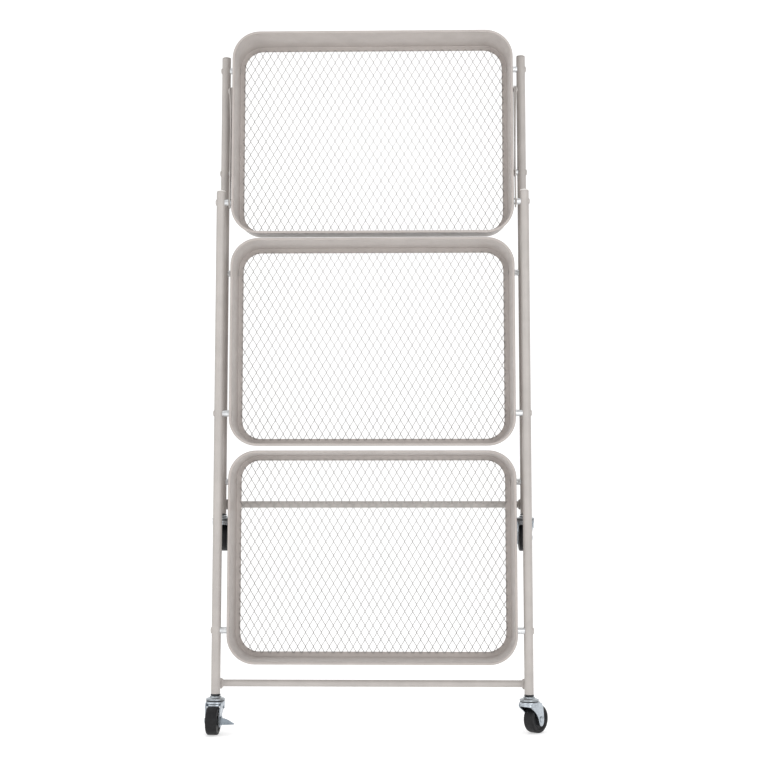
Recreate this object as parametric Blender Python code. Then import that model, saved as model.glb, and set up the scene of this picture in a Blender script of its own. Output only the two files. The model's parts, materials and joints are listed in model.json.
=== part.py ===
"""Folding three-tier rolling cart, standing upright in its folded state.

Two frames of round steel tube carry three wire-mesh baskets. Each basket turns on two
front pivots in the front frame and two rear pivots in the rear frame, so frames and
baskets form a parallelogram. Folded, the baskets stand on edge between the legs, their
open sides to the front, and the rear frame is lifted behind them. Opened, the baskets
lie level and all four casters reach the floor.

Axes: X to the right, Y to the back, Z up. The origin is on the floor, midway between
the front legs, in the plane of their centre lines. Lengths are in metres.
"""
import math

import bmesh
import bpy
from mathutils import Vector

GAP = 0.0003                    # play left between pieces that touch

# Frames
LEG_X = 0.215                   # centre line of every leg, left and right
TUBE_RADIUS = 0.00635           # half-inch tube
TUBE_WALL = 0.0010
TUBE_SIDES = 14
FRONT_LEG_BOTTOM = 0.053
FRONT_LEG_TOP = 0.7540
CAP_HEIGHT = 0.0022
CAP_PLUG = 0.008                # how far an end plug reaches into its tube
CAP_SIDES = 12
COLLAR_OVERHANG = 0.0006        # plastic collar beyond the tube's surface
COLLAR_HEIGHT = 0.0019
COLLAR_EDGE = 0.0006            # rounding of the collar
SOCKET_PLUG = 0.020
HOLE_RADIUS = 0.0028            # clearance hole for a rivet shank
DRILL_SIDES = 8

# Fold geometry: a basket's rear pivot seen from its front pivot
PIVOT_RISE = 0.205              # along the basket, from front pivot to rear pivot
PIVOT_OFFSET = 0.041            # deeper in the basket than the front pivot
FRONT_PIVOT_Z = {"top": 0.739, "middle": 0.439, "bottom": 0.139}
REAR_LEG_LIFT = PIVOT_RISE + PIVOT_OFFSET   # height the rear frame drops by on opening
REAR_LEG_BOTTOM = FRONT_LEG_BOTTOM + REAR_LEG_LIFT
REAR_LEG_TOP = 0.9620

# Crossbars: round bar with its ends pressed flat behind the legs
BAR_RADIUS = 0.00475
BAR_HEIGHT = 0.013              # above the lower end of the legs
TAB_HALF_HEIGHT = 0.0072
TAB_THICKNESS = 0.0022
TAB_REACH = 0.0055              # flat tab beyond the leg's centre line
TAB_ROUNDING = 0.003
BAR_FLAT_FROM = 0.0088          # flat from here, measured inwards from the leg's centre line
BAR_ROUND_FROM = 0.0125         # full round from here inwards
BAR_SIDES = 12

# Baskets, in a frame with its origin on the front pivot axis
RIM_HALF_WIDTH = 0.2000
RIM_ABOVE_PIVOT = 0.2477
RIM_BELOW_PIVOT = 0.0459
RIM_FRONT = -0.008              # rim plane, from the front pivot
WALL_DEPTH = 0.055
CORNER_RADIUS = 0.039
CORNER_STEPS = 5
RIM_ROLL = 0.0036               # diameter of the rolled edge
WALL_TOP_INSET = 0.0013
WALL_FLOOR_INSET = 0.0045
SHEET = 0.0010
FLANGE_INSET = 0.0123           # inner edge of the flange that carries the mesh
MESH_THICKNESS = 0.0006
MESH_EDGE_INSET = 0.0108        # the mesh laps onto the flange and stops short of the wall

# Rivets
SHANK_RADIUS = 0.0024
COLLAR_RADIUS = 0.0040
HEAD_RADIUS = 0.0045
HEAD_HEIGHT = 0.0012
INNER_HEAD_HEIGHT = 0.0014
RIVET_SIDES = 8

# Folding braces beside the top basket
LINK_THICKNESS = 0.0015
LINK_HALF_WIDTH = 0.0058
LINK_OVERHANG = 0.0030          # upper link's tongue beyond the front pivot
LINK_ROUND_STEPS = 4
FOOT_INNER_HEAD_HEIGHT = 0.0012
KNEE_HEAD_HEIGHT = 0.0016
UPPER_LINK_X = 0.2020           # inner face of the link on the front pivot
LOWER_LINK_X = 0.2042           # inner face of the link on the rear leg
UPPER_LINK_LENGTH = 0.165
FOOT_DROP = 0.153               # lower link's foot rivet below the top rear pivot
BRACE_SLACK = 0.00005           # links stop just short of dead straight

# Casters
WHEEL_RADIUS = 0.019
WHEEL_WIDTH = 0.016
WHEEL_SIDES = 20
WEB_RECESS = 0.0014             # wheel's side face below its tyre
WEB_RADIUS = 0.0138
TYRE_SIDE_RADIUS = 0.0152
TREAD_CHAMFER = 0.0017
TRAIL = 0.015
FORK_INNER = 0.0089             # half the space between the fork's cheeks
FORK_SHEET = 0.0016
FORK_TOP = 0.0435
CASTER_SIDES = 14
HEAD_DISC_RADIUS = 0.0133
RACE_HEIGHT = 0.0066            # fixed cup above the fork
KINGPIN_RADIUS = 0.0060
KINGPIN_HEIGHT = 0.0026
STEM_REACH = 0.018              # stem inside the leg
STEM_RADIUS = 0.0030
STEM_BORE = 0.0033
AXLE_RADIUS = 0.0025
AXLE_HOLE = 0.0028
AXLE_HEAD_RADIUS = 0.0042
AXLE_HEAD_HEIGHT = 0.0018
AXLE_END_RADIUS = 0.0040
AXLE_END_HEIGHT = 0.0016
LEVER_SHEET = 0.0015
LEVER_BOSS_RADIUS = 0.0065
PEDAL_THICKNESS = 0.0014
# Side view of a fork cheek: distance along the trail, and height
CHEEK_OUTLINE = [
    (-0.0095, 0.0428), (-0.0095, 0.0375), (-0.0040, 0.0330), (0.0002, 0.0265),
    (0.0064, 0.0180), (0.0090, 0.0115), (0.0132, 0.0097), (0.0170, 0.0110),
    (0.0216, 0.0180), (0.0214, 0.0260), (0.0192, 0.0345), (0.0145, 0.0428),
]
# Brake pedal: distance outwards from the boss, then its upper and lower edge, each as
# distance along the trail and height, from the axle
PEDAL_SECTIONS = [
    (-0.0012, (0.0050, 0.0040), (0.0078, -0.0045)),
    (0.0040, (0.0050, 0.0041), (0.0081, -0.0046)),
    (0.0095, (0.0054, 0.0024), (0.0082, -0.0045)),
    (0.0150, (0.0064, -0.0003), (0.0082, -0.0043)),
    (0.0190, (0.0074, -0.0026), (0.0080, -0.0042)),
]
# Heading of each caster's trail, turned from straight back
CASTER_HEADING = {
    "front_left": math.radians(176.5),
    "front_right": math.radians(-41.0),
    "rear_left": 0.0,
    "rear_right": 0.0,
}

SIDES = {"left": -1.0, "right": 1.0}


def clear_scene():
    for obj in list(bpy.data.objects):
        bpy.data.objects.remove(obj, do_unlink=True)


def make_material(name, colour, roughness, metallic):
    material = bpy.data.materials.new(name)
    material.use_nodes = True
    shader = material.node_tree.nodes["Principled BSDF"]
    shader.inputs["Base Color"].default_value = (*colour, 1.0)
    shader.inputs["Roughness"].default_value = roughness
    shader.inputs["Metallic"].default_value = metallic
    material.diffuse_color = (*colour, 1.0)
    return material


FINISHES = {
    "powder_coat": ((0.46, 0.43, 0.40), 0.45, 0.0),
    "coated_mesh": ((0.40, 0.37, 0.34), 0.50, 0.0),
    "cap_plastic": ((0.72, 0.70, 0.67), 0.40, 0.0),
    "spacer_plastic": ((0.70, 0.70, 0.69), 0.35, 0.0),
    "zinc": ((0.62, 0.65, 0.68), 0.30, 1.0),
    "black_plastic": ((0.03, 0.03, 0.03), 0.45, 0.0),
    "black_rubber": ((0.02, 0.02, 0.02), 0.60, 0.0),
}


def new_empty(name, location, parent=None, turn=0.0):
    empty = bpy.data.objects.new(name, None)
    bpy.context.collection.objects.link(empty)
    empty.location = location
    empty.rotation_euler = (0.0, 0.0, turn)
    empty.parent = parent
    return empty


def new_object(name, bm, finish, parent, location=(0.0, 0.0, 0.0)):
    """Turn a bmesh into a named object with a material of its own."""
    bmesh.ops.recalc_face_normals(bm, faces=bm.faces)
    mesh = bpy.data.meshes.new(name)
    bm.to_mesh(mesh)
    bm.free()
    mesh.shade_smooth()
    mesh.set_sharp_from_angle(angle=math.radians(35.0))
    obj = bpy.data.objects.new(name, mesh)
    bpy.context.collection.objects.link(obj)
    obj.parent = parent
    obj.location = location
    if finish:
        obj.data.materials.append(make_material(name, *FINISHES[finish]))
    return obj


def combine(obj, tool_bm, operation):
    """Cut a tool shape out of an object, or join it on."""
    label = obj.name + "_" + operation.lower()
    tool = new_object(label, tool_bm, None, obj.parent, obj.location)
    tool.hide_render = True
    tool.display_type = "WIRE"
    modifier = obj.modifiers.new(operation.title(), "BOOLEAN")
    modifier.operation = operation
    modifier.solver = "EXACT"
    modifier.object = tool


def skin_loops(bm, loops, wrap):
    """Bridge a row of point loops with faces; cap the ends unless they wrap."""
    rows = [[bm.verts.new(point) for point in loop] for loop in loops]
    pairs = list(zip(rows, rows[1:]))
    if wrap:
        pairs.append((rows[-1], rows[0]))
    for row, following in pairs:
        join_rows(bm, row, following)
    if not wrap:
        for end in (rows[0], rows[-1]):
            if len(end) > 2:
                bm.faces.new(end)


def join_rows(bm, row, following):
    size = max(len(row), len(following))
    for i in range(size):
        j = (i + 1) % size
        corners = []
        for row_part, index in ((row, i), (row, j), (following, j), (following, i)):
            vert = row_part[index % len(row_part)]
            if vert not in corners:
                corners.append(vert)
        bm.faces.new(corners)


def circle(radius, sides):
    if radius == 0.0:
        return [(0.0, 0.0)]
    step = 2.0 * math.pi / sides
    return [(radius * math.cos(i * step), radius * math.sin(i * step)) for i in range(sides)]


def turned(profile, sides, axis, wrap=False):
    """Body of revolution; the profile lists (radius, distance along the axis)."""
    bm = bmesh.new()
    loops = []
    for radius, height in profile:
        points = circle(radius, sides)
        if axis == "Z":
            loops.append([(u, v, height) for u, v in points])
        else:
            loops.append([(height, u, v) for u, v in points])
    skin_loops(bm, loops, wrap)
    return bm


def add_rod(bm, centre, radius, half_length):
    """Add a round bar along X, used as a drill for pivot holes."""
    x, y, z = centre
    loops = [
        [(end, y + u, z + v) for u, v in circle(radius, DRILL_SIDES)]
        for end in (x - half_length, x + half_length)
    ]
    skin_loops(bm, loops, False)


def drill(obj, centres, radius=HOLE_RADIUS, half_length=0.02):
    bm = bmesh.new()
    for centre in centres:
        add_rod(bm, centre, radius, half_length)
    combine(obj, bm, "DIFFERENCE")


def plate(outline, low, high):
    """Flat plate from an outline in Y and Z, thick along X."""
    bm = bmesh.new()
    skin_loops(bm, [[(level, u, v) for u, v in outline] for level in (low, high)], False)
    return bm


def merge_into(target, source):
    """Copy one bmesh into another and free it."""
    scratch = bpy.data.meshes.new("scratch")
    source.to_mesh(scratch)
    source.free()
    target.from_mesh(scratch)
    bpy.data.meshes.remove(scratch)


# ---------------------------------------------------------------- frames

def make_leg(name, parent, bottom, top, hole_heights):
    inner = TUBE_RADIUS - TUBE_WALL
    profile = [(inner, bottom), (TUBE_RADIUS, bottom), (TUBE_RADIUS, top), (inner, top)]
    leg = new_object(name, turned(profile, TUBE_SIDES, "Z", wrap=True), "powder_coat", parent)
    drill(leg, [(0.0, 0.0, height) for height in hole_heights])
    return leg


def make_cap(name, parent, leg_top):
    plug = TUBE_RADIUS - TUBE_WALL - GAP
    base = leg_top + GAP
    profile = [
        (0.0, leg_top - CAP_PLUG),
        (plug, leg_top - CAP_PLUG),
        (plug, base),
        (TUBE_RADIUS, base),
        (TUBE_RADIUS, base + CAP_HEIGHT * 0.5),
        (TUBE_RADIUS * 0.75, base + CAP_HEIGHT * 0.9),
        (0.0, base + CAP_HEIGHT),
    ]
    new_object(name, turned(profile, CAP_SIDES, "Z"), "cap_plastic", parent)


def make_socket(name, parent, leg_bottom):
    """Plastic plug in the leg's lower end, bored for the caster's stem."""
    plug = TUBE_RADIUS - TUBE_WALL - GAP
    collar = TUBE_RADIUS + COLLAR_OVERHANG
    high = leg_bottom - GAP
    profile = [
        (STEM_BORE, high - COLLAR_HEIGHT),
        (collar - COLLAR_EDGE, high - COLLAR_HEIGHT),
        (collar, high - COLLAR_EDGE),
        (collar, high),
        (plug, high),
        (plug, leg_bottom + SOCKET_PLUG),
        (STEM_BORE, leg_bottom + SOCKET_PLUG),
    ]
    new_object(name, turned(profile, CAP_SIDES, "Z", wrap=True), "black_plastic", parent)


def crossbar_section(x, half_height, front, thickness):
    """Oval slice of the crossbar, its front face held at one distance from the legs."""
    middle = front + thickness / 2.0
    power = 0.5 if thickness <= TAB_THICKNESS else 1.0
    loop = []
    for u, v in circle(1.0, BAR_SIDES):
        depth = math.copysign(abs(u) ** power, u) * thickness / 2.0
        loop.append((x, middle + depth, v * half_height))
    return loop


def make_crossbar(name, parent, height):
    front = TUBE_RADIUS + GAP
    end = LEG_X + TAB_REACH
    flat_from = LEG_X - BAR_FLAT_FROM
    round_from = LEG_X - BAR_ROUND_FROM
    steps = [
        (end, TAB_HALF_HEIGHT * 0.72, TAB_THICKNESS),
        (end - TAB_ROUNDING, TAB_HALF_HEIGHT, TAB_THICKNESS),
        (flat_from, TAB_HALF_HEIGHT, TAB_THICKNESS),
        ((flat_from + round_from) / 2.0, BAR_RADIUS * 1.22, BAR_RADIUS * 1.3),
        (round_from, BAR_RADIUS, BAR_RADIUS * 2.0),
    ]
    stations = [(-x, h, t) for x, h, t in steps] + list(reversed(steps))
    bm = bmesh.new()
    skin_loops(bm, [crossbar_section(x, h, front, t) for x, h, t in stations], False)
    new_object(name, bm, "powder_coat", parent, (0.0, 0.0, height))


# ---------------------------------------------------------------- baskets

def wall_inset(depth, inner):
    """How far the band's face lies inside the rim at a depth below the rim plane."""
    share = (depth - RIM_ROLL) / (WALL_DEPTH - RIM_ROLL)
    inset = WALL_TOP_INSET + share * (WALL_FLOOR_INSET - WALL_TOP_INSET)
    return inset + SHEET if inner else inset


def rounded_rectangle(inset, depth):
    """Loop of points around the basket, inset from the rim's outer edge."""
    radius = CORNER_RADIUS - inset
    half_width = RIM_HALF_WIDTH - inset - radius
    half_height = (RIM_ABOVE_PIVOT + RIM_BELOW_PIVOT) / 2.0 - inset - radius
    centre_z = (RIM_ABOVE_PIVOT - RIM_BELOW_PIVOT) / 2.0
    points = []
    for quarter, (sx, sz) in enumerate(((1, 1), (-1, 1), (-1, -1), (1, -1))):
        for step in range(CORNER_STEPS + 1):
            angle = math.radians(90.0 * (quarter + step / CORNER_STEPS))
            x = sx * half_width + radius * math.cos(angle)
            z = centre_z + sz * half_height + radius * math.sin(angle)
            points.append((x, RIM_FRONT + depth, z))
    return points


def make_band(name, parent):
    """Sheet-steel side wall with a rolled rim and an inward flange at the floor."""
    roll = RIM_ROLL / 2.0
    diagonal = roll * math.sqrt(0.5)
    floor = WALL_DEPTH
    profile = [
        (roll, 0.0),
        (roll - diagonal, roll - diagonal),
        (0.0, roll),
        (roll - diagonal, roll + diagonal),
        (WALL_TOP_INSET, RIM_ROLL),
        (WALL_FLOOR_INSET, floor - SHEET),
        (WALL_FLOOR_INSET + SHEET, floor),
        (FLANGE_INSET, floor),
        (FLANGE_INSET, floor - SHEET),
        (WALL_FLOOR_INSET + SHEET, floor - SHEET),
        (WALL_TOP_INSET + SHEET, RIM_ROLL + GAP),
        (roll + diagonal, roll + diagonal),
        (RIM_ROLL, roll),
        (roll + diagonal, roll - diagonal),
    ]
    bm = bmesh.new()
    skin_loops(bm, [rounded_rectangle(inset, depth) for inset, depth in profile], True)
    band = new_object(name, bm, "powder_coat", parent)
    drill(band, [(0.0, 0.0, 0.0), (0.0, PIVOT_OFFSET, PIVOT_RISE)], half_length=LEG_X)


def make_floor(name, parent):
    """Expanded-metal floor, as a plain sheet of the same outline and thickness."""
    back = WALL_DEPTH - SHEET - GAP
    bm = bmesh.new()
    loops = [rounded_rectangle(MESH_EDGE_INSET, depth) for depth in (back - MESH_THICKNESS, back)]
    skin_loops(bm, loops, False)
    new_object(name, bm, "coated_mesh", parent)


# ---------------------------------------------------------------- rivets

def rivet_profile(reaches, inner_end, head_height):
    """Profile of a shouldered rivet along X, seen from the centre of its leg.

    Distances run from the outside of the leg towards the basket. `reaches` lists the
    stretches where the shoulder is full size; between them only the shank passes.
    """
    head = TUBE_RADIUS + GAP
    profile = [
        (0.0, head + HEAD_HEIGHT),
        (HEAD_RADIUS * 0.62, head + HEAD_HEIGHT * 0.84),
        (HEAD_RADIUS, head + HEAD_HEIGHT * 0.25),
        (HEAD_RADIUS, head),
        (SHANK_RADIUS, head),
    ]
    for start, end in reaches:
        profile += [
            (SHANK_RADIUS, -start),
            (COLLAR_RADIUS, -start),
            (COLLAR_RADIUS, -end),
            (SHANK_RADIUS, -end),
        ]
    profile += [
        (SHANK_RADIUS, -inner_end),
        (COLLAR_RADIUS, -inner_end),
        (COLLAR_RADIUS * 0.85, -inner_end - head_height),
        (0.0, -inner_end - head_height),
    ]
    return profile


def make_rivet(name, parent, side, height, reaches, inner_end, head_height=INNER_HEAD_HEIGHT):
    profile = [(r, side * x) for r, x in rivet_profile(reaches, inner_end, head_height)]
    bm = turned(profile, RIVET_SIDES, "X")
    new_object(name, bm, "spacer_plastic", parent, (side * LEG_X, 0.0, height))


def basket_rivet_span(depth):
    """Shoulder end and inner head seat for a rivet through the band at a depth."""
    outer = RIM_HALF_WIDTH - wall_inset(depth - COLLAR_RADIUS, inner=False)
    inner = RIM_HALF_WIDTH - wall_inset(depth + COLLAR_RADIUS, inner=True)
    return LEG_X - outer - GAP, LEG_X - inner + GAP


# ---------------------------------------------------------------- braces

def capsule(start, end, half_width):
    """Outline of a strap with round ends between two points."""
    heading = math.atan2(end.y - start.y, end.x - start.x)
    outline = []
    for centre, turn in ((end, -0.5), (start, 0.5)):
        for step in range(LINK_ROUND_STEPS + 1):
            angle = heading + math.pi * (turn + step / LINK_ROUND_STEPS)
            outline.append((
                centre.x + half_width * math.cos(angle),
                centre.y + half_width * math.sin(angle),
            ))
    return outline


def brace_points():
    """Knee and foot of the folded brace, measured from the top front pivot."""
    foot = Vector((PIVOT_OFFSET, PIVOT_RISE - FOOT_DROP))
    opened = Vector((PIVOT_RISE, -PIVOT_OFFSET - FOOT_DROP))
    lower_length = opened.length + BRACE_SLACK - UPPER_LINK_LENGTH
    along = (UPPER_LINK_LENGTH ** 2 - lower_length ** 2 + foot.length ** 2) / (2.0 * foot.length)
    across = math.sqrt(UPPER_LINK_LENGTH ** 2 - along ** 2)
    unit = foot.normalized()
    normal = Vector((-unit.y, unit.x))
    return unit * along + normal * across, foot


def make_link(name, parent, end, inner_x, side, overhang=0.0):
    """Strap from the parent's place to an end hole, its near end reaching past its hole."""
    faces = sorted((side * inner_x, side * (inner_x + LINK_THICKNESS)))
    near = -end.normalized() * overhang
    bm = plate(capsule(near, end, LINK_HALF_WIDTH), faces[0], faces[1])
    link = new_object(name, bm, "powder_coat", parent)
    drill(link, [(side * inner_x, 0.0, 0.0), (side * inner_x, end.x, end.y)])


def make_knee_rivet(name, parent, side, centre):
    """Knee rivet: a head outside the lower link and a shank through it."""
    outer = LOWER_LINK_X + LINK_THICKNESS + GAP
    profile = [
        (0.0, outer + KNEE_HEAD_HEIGHT),
        (COLLAR_RADIUS * 0.8, outer + KNEE_HEAD_HEIGHT * 0.8),
        (COLLAR_RADIUS, outer),
        (SHANK_RADIUS, outer),
        (SHANK_RADIUS, LOWER_LINK_X - GAP),
        (0.0, LOWER_LINK_X - GAP),
    ]
    bm = turned([(r, side * x) for r, x in profile], RIVET_SIDES, "X")
    new_object(name, bm, "zinc", parent, (0.0, centre.x, centre.y))


# ---------------------------------------------------------------- casters

def make_caster_head(name, parent):
    """Stem, fixed raceway cup and the riveted end that holds the fork."""
    low = FORK_TOP + GAP
    under_fork = FORK_TOP - FORK_SHEET
    stem_top = FRONT_LEG_BOTTOM + STEM_REACH
    profile = [
        (0.0, under_fork - KINGPIN_HEIGHT),
        (KINGPIN_RADIUS, under_fork - KINGPIN_HEIGHT),
        (KINGPIN_RADIUS, under_fork - GAP),
        (STEM_RADIUS, under_fork - GAP),
        (STEM_RADIUS, low),
        (HEAD_DISC_RADIUS * 0.95, low),
        (HEAD_DISC_RADIUS, low + RACE_HEIGHT * 0.17),
        (HEAD_DISC_RADIUS * 0.98, low + RACE_HEIGHT * 0.43),
        (HEAD_DISC_RADIUS * 0.68, low + RACE_HEIGHT * 0.77),
        (HEAD_DISC_RADIUS * 0.56, low + RACE_HEIGHT),
        (STEM_RADIUS, low + RACE_HEIGHT),
        (STEM_RADIUS, stem_top - GAP),
        (0.0, stem_top),
    ]
    new_object(name, turned(profile, CASTER_SIDES, "Z"), "zinc", parent)


def make_fork(name, parent):
    top = FORK_TOP
    disc = [
        (STEM_BORE, top - FORK_SHEET),
        (HEAD_DISC_RADIUS * 0.94, top - FORK_SHEET),
        (HEAD_DISC_RADIUS, top - FORK_SHEET * 0.5),
        (HEAD_DISC_RADIUS * 0.97, top),
        (STEM_BORE, top),
    ]
    fork = new_object(name, turned(disc, CASTER_SIDES, "Z", wrap=True), "zinc", parent)
    cheeks = bmesh.new()
    for side in (-1.0, 1.0):
        faces = sorted((side * FORK_INNER, side * (FORK_INNER + FORK_SHEET)))
        merge_into(cheeks, plate(CHEEK_OUTLINE, faces[0], faces[1]))
    combine(fork, cheeks, "UNION")
    drill(fork, [(0.0, TRAIL, WHEEL_RADIUS)], AXLE_HOLE)


def make_wheel(name, parent):
    half = WHEEL_WIDTH / 2.0
    right = [
        (AXLE_HOLE, half - WEB_RECESS),
        (WEB_RADIUS, half - WEB_RECESS),
        (TYRE_SIDE_RADIUS, half),
        (WHEEL_RADIUS - TREAD_CHAMFER, half),
        (WHEEL_RADIUS, half - TREAD_CHAMFER),
    ]
    profile = right + [(radius, -x) for radius, x in reversed(right)]
    bm = turned(profile, WHEEL_SIDES, "X", wrap=True)
    new_object(name, bm, "black_rubber", parent)


def make_axle(name, parent, lever_side):
    """Axle bolt with a head each side; longer where a brake lever sits on it."""
    ends = {-1.0: FORK_INNER + FORK_SHEET + GAP, 1.0: FORK_INNER + FORK_SHEET + GAP}
    if lever_side:
        ends[lever_side] += LEVER_SHEET + GAP
    profile = [
        (0.0, ends[1.0] + AXLE_HEAD_HEIGHT),
        (AXLE_HEAD_RADIUS * 0.8, ends[1.0] + AXLE_HEAD_HEIGHT * 0.9),
        (AXLE_HEAD_RADIUS, ends[1.0] + AXLE_HEAD_HEIGHT * 0.35),
        (AXLE_HEAD_RADIUS, ends[1.0]),
        (AXLE_RADIUS, ends[1.0]),
        (AXLE_RADIUS, -ends[-1.0]),
        (AXLE_END_RADIUS, -ends[-1.0]),
        (AXLE_END_RADIUS, -ends[-1.0] - AXLE_END_HEIGHT * 0.75),
        (0.0, -ends[-1.0] - AXLE_END_HEIGHT),
    ]
    new_object(name, turned(profile, RIVET_SIDES, "X"), "zinc", parent)


def pedal_section(x, upper, lower):
    """Slice of the pedal across its slope, between its upper and lower edge."""
    upper, lower = Vector(upper), Vector(lower)
    slope = (lower - upper).normalized()
    half = Vector((-slope.y, slope.x)) * (PEDAL_THICKNESS / 2.0)
    corners = (upper - half, lower - half, lower + half, upper + half)
    return [(x, point.x, point.y) for point in corners]


def make_brake_lever(name, parent):
    """Side lever on the axle: a round boss with a pedal that slopes down and outwards."""
    near = -(FORK_INNER + FORK_SHEET + GAP)
    far = near - LEVER_SHEET
    boss = circle(LEVER_BOSS_RADIUS, CAP_SIDES)
    lever = new_object(name, plate(boss, far, near), "zinc", parent)
    pedal = bmesh.new()
    loops = [pedal_section(far - reach, upper, lower) for reach, upper, lower in PEDAL_SECTIONS]
    skin_loops(pedal, loops, False)
    combine(lever, pedal, "UNION")
    drill(lever, [(0.0, 0.0, 0.0)], AXLE_HOLE)


def make_caster(corner, frame, leg_x, lift):
    lever_side = -1.0 if corner == "front_left" else 0.0
    swivel = new_empty("swivel_" + corner, (leg_x, 0.0, lift), frame, CASTER_HEADING[corner])
    hub = new_empty("hub_" + corner, (0.0, TRAIL, WHEEL_RADIUS), swivel)
    make_caster_head("caster_head_" + corner, swivel)
    make_fork("caster_fork_" + corner, swivel)
    make_axle("caster_axle_" + corner, hub, lever_side)
    make_wheel("caster_wheel_" + corner, hub)
    if lever_side:
        make_brake_lever("brake_lever_" + corner, hub)


# ---------------------------------------------------------------- assembly

def build_front_frame(frame):
    heights = list(FRONT_PIVOT_Z.values())
    for side_name, side in SIDES.items():
        place = new_empty("front_leg_place_" + side_name, (side * LEG_X, 0.0, 0.0), frame)
        make_leg("front_leg_" + side_name, place, FRONT_LEG_BOTTOM, FRONT_LEG_TOP, heights)
        make_cap("front_leg_cap_" + side_name, place, FRONT_LEG_TOP)
        make_socket("front_stem_socket_" + side_name, place, FRONT_LEG_BOTTOM)
        make_caster("front_" + side_name, frame, side * LEG_X, 0.0)
        for tier, height in FRONT_PIVOT_Z.items():
            seat, inner_end = basket_rivet_span(-RIM_FRONT)
            reaches = [(TUBE_RADIUS + GAP, seat)]
            if tier == "top":
                link_outer = LEG_X - UPPER_LINK_X - LINK_THICKNESS - GAP
                link_inner = LEG_X - UPPER_LINK_X + GAP
                reaches = [(TUBE_RADIUS + GAP, link_outer), (link_inner, seat)]
            name = "{}_front_pivot_{}".format(tier, side_name)
            make_rivet(name, frame, side, height, reaches, inner_end)
    make_crossbar("front_crossbar", frame, FRONT_LEG_BOTTOM + BAR_HEIGHT)


def build_rear_frame(frame, foot_height):
    """Rear frame, in a frame whose origin lies between the rear legs at floor level."""
    heights = {tier: z + PIVOT_RISE for tier, z in FRONT_PIVOT_Z.items()}
    holes = list(heights.values()) + [foot_height]
    for side_name, side in SIDES.items():
        place = new_empty("rear_leg_place_" + side_name, (side * LEG_X, 0.0, 0.0), frame)
        make_leg("rear_leg_" + side_name, place, REAR_LEG_BOTTOM, REAR_LEG_TOP, holes)
        make_cap("rear_leg_cap_" + side_name, place, REAR_LEG_TOP)
        make_socket("rear_stem_socket_" + side_name, place, REAR_LEG_BOTTOM)
        make_caster("rear_" + side_name, frame, side * LEG_X, REAR_LEG_LIFT)
        for tier, height in heights.items():
            seat, inner_end = basket_rivet_span(PIVOT_OFFSET - RIM_FRONT)
            name = "{}_rear_pivot_{}".format(tier, side_name)
            make_rivet(name, frame, side, height, [(TUBE_RADIUS + GAP, seat)], inner_end)
        link_outer = LEG_X - LOWER_LINK_X - LINK_THICKNESS - GAP
        link_inner = LEG_X - LOWER_LINK_X + GAP
        make_rivet("brace_foot_rivet_" + side_name, frame, side, foot_height,
                   [(TUBE_RADIUS + GAP, link_outer)], link_inner, FOOT_INNER_HEAD_HEIGHT)
    make_crossbar("rear_crossbar", frame, REAR_LEG_BOTTOM + BAR_HEIGHT)


def build_baskets(frame):
    for tier, height in FRONT_PIVOT_Z.items():
        basket = new_empty(tier + "_basket", (0.0, 0.0, height), frame)
        make_band(tier + "_basket_band", basket)
        make_floor(tier + "_basket_floor", basket)


def build_braces(frame):
    knee, foot = brace_points()
    for side_name, side in SIDES.items():
        upper = new_empty("brace_upper_place_" + side_name, (0.0, 0.0, FRONT_PIVOT_Z["top"]), frame)
        lower = new_empty("brace_lower_place_" + side_name,
                          (0.0, foot.x, FRONT_PIVOT_Z["top"] + foot.y), frame)
        reach = knee - foot
        make_link("brace_upper_link_" + side_name, upper, knee, UPPER_LINK_X, side, LINK_OVERHANG)
        make_link("brace_lower_link_" + side_name, lower, reach, LOWER_LINK_X, side)
        make_knee_rivet("brace_knee_rivet_" + side_name, lower, side, reach)


def main():
    clear_scene()
    cart = new_empty("cart", (0.0, 0.0, 0.0))
    front = new_empty("front_frame", (0.0, 0.0, 0.0), cart)
    rear = new_empty("rear_frame", (0.0, PIVOT_OFFSET, 0.0), cart)
    build_front_frame(front)
    build_rear_frame(rear, FRONT_PIVOT_Z["top"] + PIVOT_RISE - FOOT_DROP)
    build_baskets(cart)
    build_braces(cart)


main()
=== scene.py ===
import json
import math

import bmesh
import bpy
from mathutils import Matrix, Vector


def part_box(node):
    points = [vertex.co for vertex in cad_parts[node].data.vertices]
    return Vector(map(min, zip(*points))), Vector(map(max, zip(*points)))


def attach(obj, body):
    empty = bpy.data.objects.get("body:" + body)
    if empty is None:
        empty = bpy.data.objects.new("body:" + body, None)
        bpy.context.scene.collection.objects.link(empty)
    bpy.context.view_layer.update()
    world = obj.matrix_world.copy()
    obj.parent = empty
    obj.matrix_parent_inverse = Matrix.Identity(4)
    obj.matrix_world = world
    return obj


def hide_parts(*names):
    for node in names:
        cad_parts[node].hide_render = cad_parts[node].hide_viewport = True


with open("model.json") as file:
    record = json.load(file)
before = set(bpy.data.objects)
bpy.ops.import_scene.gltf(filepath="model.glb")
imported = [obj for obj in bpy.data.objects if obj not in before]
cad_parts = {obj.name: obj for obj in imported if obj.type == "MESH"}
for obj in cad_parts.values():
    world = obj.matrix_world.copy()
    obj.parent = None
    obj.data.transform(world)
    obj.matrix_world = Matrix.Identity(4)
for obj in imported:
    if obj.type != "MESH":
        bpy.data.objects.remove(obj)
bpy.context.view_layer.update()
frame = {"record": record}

JOINTS = {joint["name"]: joint for joint in frame["record"]["behaviour"]["joints"]}
SIDES = {"left": -1.0, "right": 1.0}
TIERS = ("top", "middle", "bottom")
CORNERS = ("front_left", "front_right", "rear_left", "rear_right")
GAP = 0.0003                    # play left between pieces that touch


def joint_point(name):
    return Vector(JOINTS[name]["pos_m"])


# ---------------------------------------------------------------- materials

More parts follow.
